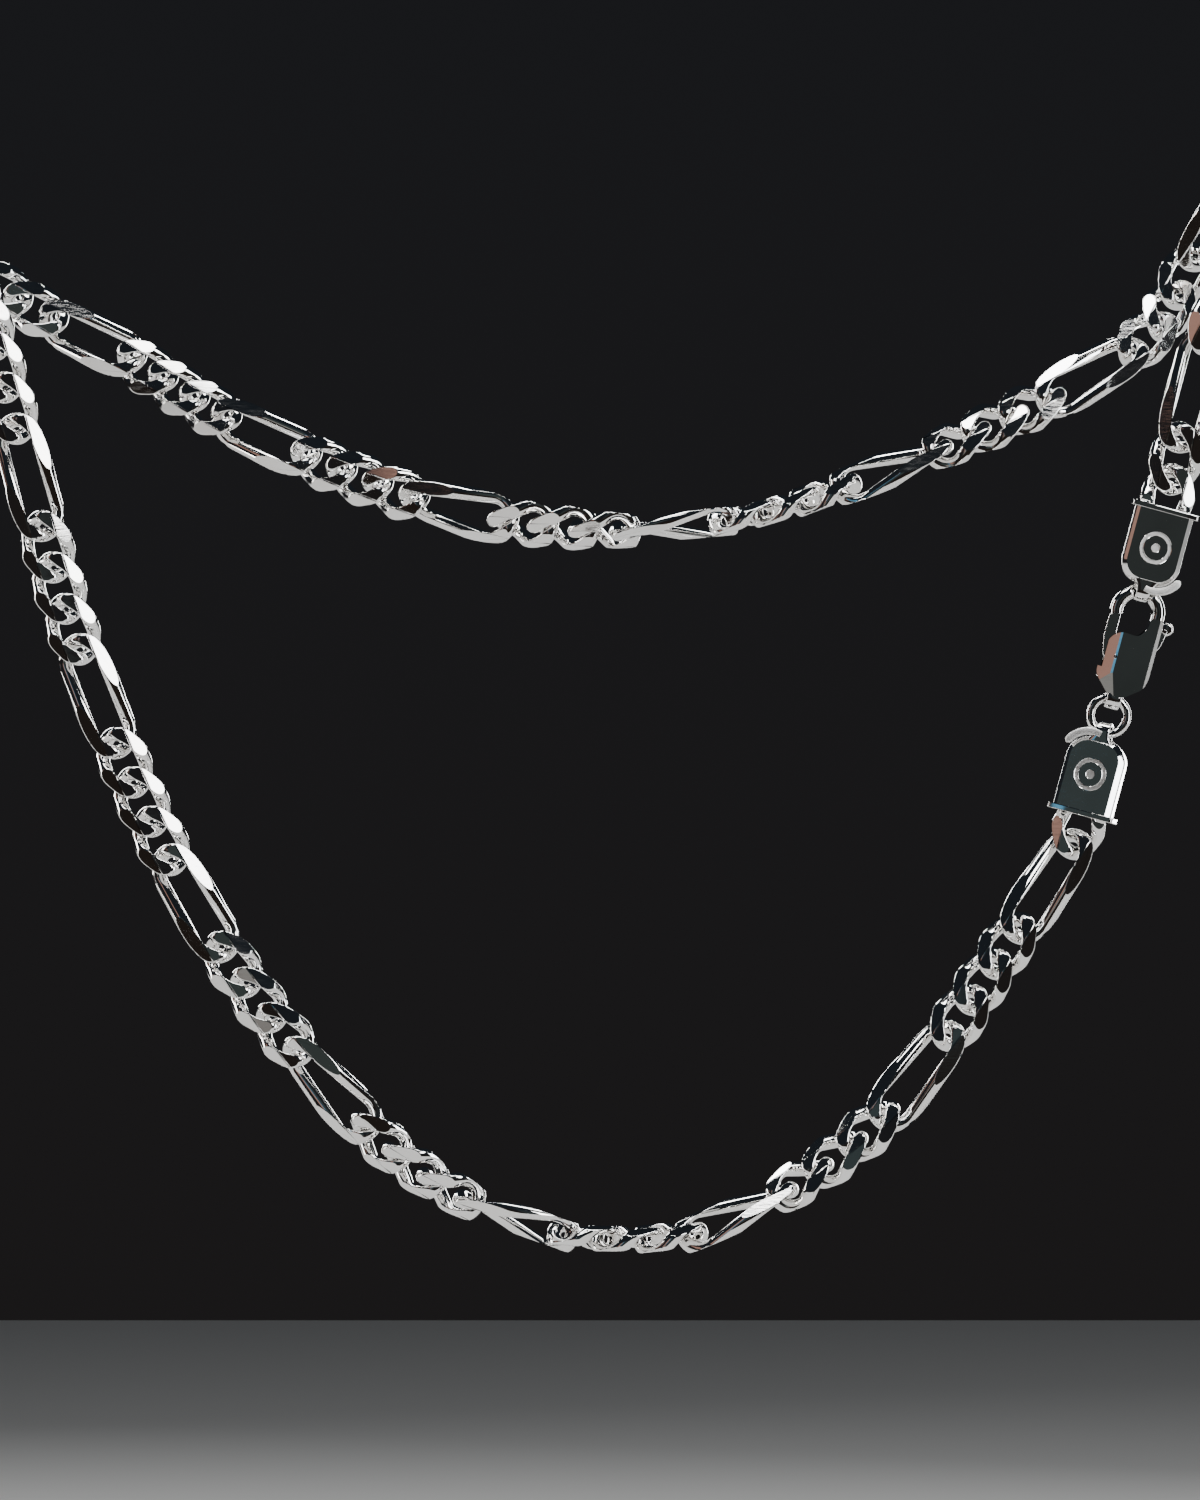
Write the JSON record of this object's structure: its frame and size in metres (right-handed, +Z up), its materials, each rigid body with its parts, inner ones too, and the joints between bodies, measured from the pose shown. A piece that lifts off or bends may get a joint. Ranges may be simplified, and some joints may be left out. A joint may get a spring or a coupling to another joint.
{
  "type": "chain necklace",
  "caption": "Figaro chain necklace of diamond-cut curb links, closed by a lobster clasp between two tags and hung in a double curve.",
  "frame": {"origin": "between the two places where the necklace rests on its stand, close to their height", "axes": "+X to the wearer's left as seen from the front, +Y to the back, +Z up"},
  "size_m": [0.1398, 0.0389, 0.112],
  "materials": {
    "silver": "mirror polished",
    "spring_steel": "bright"
  },
  "bodies": {
    "long_01": {"long_link_01": "silver"},
    "long_02": {"long_link_02": "silver"},
    "long_03": {"long_link_03": "silver"},
    "long_04": {"long_link_04": "silver"},
    "long_05": {"long_link_05": "silver"},
    "long_06": {"long_link_06": "silver"},
    "long_07": {"long_link_07": "silver"},
    "long_08": {"long_link_08": "silver"},
    "long_09": {"long_link_09": "silver"},
    "long_10": {"long_link_10": "silver"},
    "long_11": {"long_link_11": "silver"},
    "long_12": {"long_link_12": "silver"},
    "long_13": {"long_link_13": "silver"},
    "long_14": {"long_link_14": "silver"},
    "long_15": {"long_link_15": "silver"},
    "long_16": {"long_link_16": "silver"},
    "long_17": {"long_link_17": "silver"},
    "long_18": {"long_link_18": "silver"},
    "long_19": {"long_link_19": "silver"},
    "long_20": {"long_link_20": "silver"},
    "trio_01": {"short_links_01": "silver"},
    "trio_02": {"short_links_02": "silver"},
    "trio_03": {"short_links_03": "silver"},
    "trio_04": {"short_links_04": "silver"},
    "trio_05": {"short_links_05": "silver"},
    "trio_06": {"short_links_06": "silver"},
    "trio_07": {"short_links_07": "silver"},
    "trio_08": {"short_links_08": "silver"},
    "trio_09": {"short_links_09": "silver"},
    "trio_10": {"short_links_10": "silver"},
    "trio_11": {"short_links_11": "silver"},
    "trio_12": {"short_links_12": "silver"},
    "trio_13": {"short_links_13": "silver"},
    "trio_14": {"short_links_14": "silver"},
    "trio_15": {"short_links_15": "silver"},
    "trio_16": {"short_links_16": "silver"},
    "trio_17": {"short_links_17": "silver"},
    "trio_18": {"short_links_18": "silver"},
    "trio_19": {"short_links_19": "silver"},
    "short_20": {"short_link_20": "silver"},
    "lower_tag": {"lower_tag_shell": "silver", "lower_tag_back": "silver", "lower_tag_plate": "silver", "lower_tag_link": "silver", "lower_tag_bail": "silver"},
    "upper_tag": {"upper_tag_shell": "silver", "upper_tag_back": "silver", "upper_tag_plate": "silver", "upper_tag_link": "silver", "upper_tag_bail": "silver"},
    "clasp": {"clasp_body": "silver", "clasp_pin": "silver", "clasp_spring": "spring_steel"},
    "lever": {"clasp_lever": "silver"},
    "ring": {"jump_ring": "silver"}
  },
  "joints": [
    {"name": "lever_press", "type": "hinge", "parent": "clasp", "child": "lever", "pos_m": [0.04784, -0.01306, -0.04965], "axis": [-0.0674, 0.9976, 0.0181], "range_deg": [0, 20], "stiffness_Nm_per_rad": 0.02, "springref_deg": -11.46, "deforming": ["clasp_spring"]},
    {"name": "clasp_swing", "type": "hinge", "parent": "upper_tag", "child": "clasp", "pos_m": [0.05033, -0.013, -0.04349], "axis": [0.9603, -0.1045, -0.2585], "range_deg": [-20, 30]},
    {"name": "ring_swing", "type": "hinge", "parent": "clasp", "child": "ring", "pos_m": [0.04763, -0.013, -0.0535], "axis": [0.9633, 0.0698, -0.2593], "range_deg": [-30, 30]},
    {"name": "lower_tag_swing", "type": "hinge", "parent": "ring", "child": "lower_tag", "pos_m": [0.0472, -0.013, -0.0551], "axis": [0, -1, 0], "range_deg": [-25, 25]},
    {"name": "trio_18_to_long_19", "type": "hinge", "parent": "trio_18", "child": "long_19", "pos_m": [0.0632, -0.00829, -0.0026], "axis": [0.066, 0.62, -0.7818], "range_deg": [-15, 3]},
    {"name": "long_19_to_trio_19", "type": "hinge", "parent": "long_19", "child": "trio_19", "pos_m": [0.06085, -0.01416, -0.00941], "axis": [-0.9537, 0.0781, 0.2906], "range_deg": [-2, 15]},
    {"name": "trio_19_to_long_20", "type": "hinge", "parent": "trio_19", "child": "long_20", "pos_m": [0.0562, -0.01439, -0.02035], "axis": [-0.0271, -0.9929, -0.1157], "range_deg": [-15, 15]},
    {"name": "long_20_to_short_20", "type": "hinge", "parent": "long_20", "child": "short_20", "pos_m": [0.05381, -0.01337, -0.02928], "axis": [0.9692, -0.0558, -0.24], "range_deg": [-15, 15]},
    {"name": "short_20_to_upper_tag", "type": "hinge", "parent": "short_20", "child": "upper_tag", "pos_m": [0.0531, -0.013, -0.0332], "axis": [0.113, 0.9909, 0.073], "range_deg": [-15, 15]},
    {"name": "lower_tag_to_long_01", "type": "hinge", "parent": "lower_tag", "child": "long_01", "pos_m": [0.044, -0.013, -0.067], "axis": [0.8308, -0.137, -0.5394], "range_deg": [-12, 15]},
    {"name": "long_01_to_trio_01", "type": "hinge", "parent": "long_01", "child": "trio_01", "pos_m": [0.03887, -0.01364, -0.07473], "axis": [-0.0904, -0.9857, 0.1421], "range_deg": [-15, 15]},
    {"name": "trio_01_to_long_02", "type": "hinge", "parent": "trio_01", "child": "long_02", "pos_m": [0.03225, -0.01454, -0.0847], "axis": [-0.7955, 0.1767, 0.5796], "range_deg": [-15, 15]},
    {"name": "long_02_to_trio_02", "type": "hinge", "parent": "long_02", "child": "trio_02", "pos_m": [0.0265, -0.01506, -0.09199], "axis": [0.1958, 0.9554, -0.2213], "range_deg": [-15, 15]},
    {"name": "trio_02_to_long_03", "type": "hinge", "parent": "trio_02", "child": "long_03", "pos_m": [0.01702, -0.015, -0.09931], "axis": [0.272, -0.7994, -0.5358], "range_deg": [-15, 15]},
    {"name": "long_03_to_trio_03", "type": "hinge", "parent": "long_03", "child": "trio_03", "pos_m": [0.00852, -0.015, -0.1031], "axis": [-0.3081, -0.2855, 0.9075], "range_deg": [-15, 15]},
    {"name": "trio_03_to_long_04", "type": "hinge", "parent": "trio_03", "child": "long_04", "pos_m": [-0.00344, -0.015, -0.10318], "axis": [-0.0475, 0.9837, -0.1734], "range_deg": [-15, 12]},
    {"name": "long_04_to_trio_04", "type": "hinge", "parent": "long_04", "child": "trio_04", "pos_m": [-0.01219, -0.015, -0.10005], "axis": [-0.3131, -0.582, -0.7505], "range_deg": [-15, 15]},
    {"name": "trio_04_to_long_05", "type": "hinge", "parent": "trio_04", "child": "long_05", "pos_m": [-0.02187, -0.01498, -0.09304], "axis": [0.5982, -0.523, 0.6072], "range_deg": [-15, 15]},
    {"name": "long_05_to_trio_05", "type": "hinge", "parent": "long_05", "child": "trio_05", "pos_m": [-0.0281, -0.01445, -0.08615], "axis": [0.2641, 0.9518, 0.1561], "range_deg": [-15, 15]},
    {"name": "trio_05_to_long_06", "type": "hinge", "parent": "trio_05", "child": "long_06", "pos_m": [-0.03522, -0.01367, -0.07653], "axis": [-0.8488, 0.0739, -0.5235], "range_deg": [-15, 15]},
    {"name": "long_06_to_trio_06", "type": "hinge", "parent": "long_06", "child": "trio_06", "pos_m": [-0.03989, -0.01309, -0.06851], "axis": [-0.0343, -0.9985, 0.0417], "range_deg": [-15, 15]},
    {"name": "trio_06_to_long_07", "type": "hinge", "parent": "trio_06", "child": "long_07", "pos_m": [-0.04493, -0.01293, -0.05762], "axis": [0.9276, 0.0086, 0.3736], "range_deg": [-15, 15]},
    {"name": "long_07_to_trio_07", "type": "hinge", "parent": "long_07", "child": "trio_07", "pos_m": [-0.04831, -0.013, -0.04896], "axis": [-0.0023, 1, 0.0046], "range_deg": [-15, 15]},
    {"name": "trio_07_to_long_08", "type": "hinge", "parent": "trio_07", "child": "long_08", "pos_m": [-0.0518, -0.01303, -0.03748], "axis": [-0.9665, -0.0041, -0.2567], "range_deg": [-15, 15]},
    {"name": "long_08_to_trio_08", "type": "hinge", "parent": "long_08", "child": "trio_08", "pos_m": [-0.05417, -0.01302, -0.02849], "axis": [0.0014, -1, 0.0038], "range_deg": [-15, 15]},
    {"name": "trio_08_to_long_09", "type": "hinge", "parent": "trio_08", "child": "long_09", "pos_m": [-0.05751, -0.01299, -0.01697], "axis": [0.9415, -0.0462, 0.3339], "range_deg": [-15, 15]},
    {"name": "long_09_to_trio_09", "type": "hinge", "parent": "long_09", "child": "trio_09", "pos_m": [-0.06078, -0.01222, -0.00829], "axis": [0.0827, 0.9928, -0.0866], "range_deg": [-15, 15]},
    {"name": "trio_18_to_long_18", "type": "hinge", "parent": "trio_18", "child": "long_18", "pos_m": [0.06124, 0.00252, -0.00432], "axis": [0.8765, 0.2928, -0.3821], "range_deg": [0, 15]},
    {"name": "long_18_to_trio_17", "type": "hinge", "parent": "long_18", "child": "trio_17", "pos_m": [0.05636, 0.00549, -0.01165], "axis": [-0.0451, -0.9826, -0.1803], "range_deg": [-15, 11]},
    {"name": "trio_17_to_long_17", "type": "hinge", "parent": "trio_17", "child": "long_17", "pos_m": [0.05011, 0.00129, -0.02067], "axis": [-0.5888, 0.1495, 0.7943], "range_deg": [-15, 15]},
    {"name": "long_17_to_trio_16", "type": "hinge", "parent": "long_17", "child": "trio_16", "pos_m": [0.04235, -0.0012, -0.02514], "axis": [-0.0028, 0.8754, -0.4834], "range_deg": [-15, 15]},
    {"name": "trio_16_to_long_16", "type": "hinge", "parent": "trio_16", "child": "long_16", "pos_m": [0.03175, -0.00369, -0.03016], "axis": [0.3038, -0.7441, -0.595], "range_deg": [-15, 15]},
    {"name": "long_16_to_trio_15", "type": "hinge", "parent": "long_16", "child": "trio_15", "pos_m": [0.0231, -0.004, -0.03357], "axis": [-0.3096, -0.4236, 0.8513], "range_deg": [-15, 15]},
    {"name": "trio_15_to_long_15", "type": "hinge", "parent": "trio_15", "child": "long_15", "pos_m": [0.01158, -0.00395, -0.03687], "axis": [0.0826, 0.9945, -0.0641], "range_deg": [-15, 15]},
    {"name": "long_15_to_trio_14", "type": "hinge", "parent": "long_15", "child": "trio_14", "pos_m": [0.00236, -0.0031, -0.03771], "axis": [-0.0191, -0.4675, -0.8838], "range_deg": [-15, 15]},
    {"name": "trio_14_to_long_14", "type": "hinge", "parent": "trio_14", "child": "long_14", "pos_m": [-0.00912, 0.0002, -0.03671], "axis": [-0.016, -0.5581, 0.8296], "range_deg": [-15, 15]},
    {"name": "long_14_to_trio_13", "type": "hinge", "parent": "long_14", "child": "trio_13", "pos_m": [-0.01762, 0.00331, -0.03455], "axis": [0.4026, 0.8816, 0.2464], "range_deg": [-15, 15]},
    {"name": "trio_13_to_long_13", "type": "hinge", "parent": "trio_13", "child": "long_13", "pos_m": [-0.02802, 0.00764, -0.03045], "axis": [-0.3621, 0.1488, -0.9202], "range_deg": [-15, 15]},
    {"name": "long_13_to_trio_12", "type": "hinge", "parent": "long_13", "child": "trio_12", "pos_m": [-0.03577, 0.01117, -0.0267], "axis": [-0.3788, -0.9196, 0.1044], "range_deg": [-15, 15]},
    {"name": "trio_12_to_long_12", "type": "hinge", "parent": "trio_12", "child": "long_12", "pos_m": [-0.04503, 0.01602, -0.02081], "axis": [0.4505, -0.0853, 0.8887], "range_deg": [-15, 15]},
    {"name": "long_12_to_trio_11", "type": "hinge", "parent": "long_12", "child": "trio_11", "pos_m": [-0.05266, 0.01964, -0.01691], "axis": [0.3158, 0.9457, -0.0765], "range_deg": [-15, 15]},
    {"name": "trio_11_to_long_11", "type": "hinge", "parent": "trio_11", "child": "long_11", "pos_m": [-0.0626, 0.01973, -0.01032], "axis": [-0.7323, 0.1776, -0.6575], "range_deg": [-15, 15]},
    {"name": "long_11_to_trio_10", "type": "hinge", "parent": "long_11", "child": "trio_10", "pos_m": [-0.06841, 0.01712, -0.00355], "axis": [-0.0374, -0.8932, -0.4481], "range_deg": [-15, 15]},
    {"name": "trio_10_to_long_10", "type": "hinge", "parent": "trio_10", "child": "long_10", "pos_m": [-0.07172, 0.00924, 0.00453], "axis": [1, -0.0016, 0.0009], "range_deg": [-15, 15]}
  ]
}
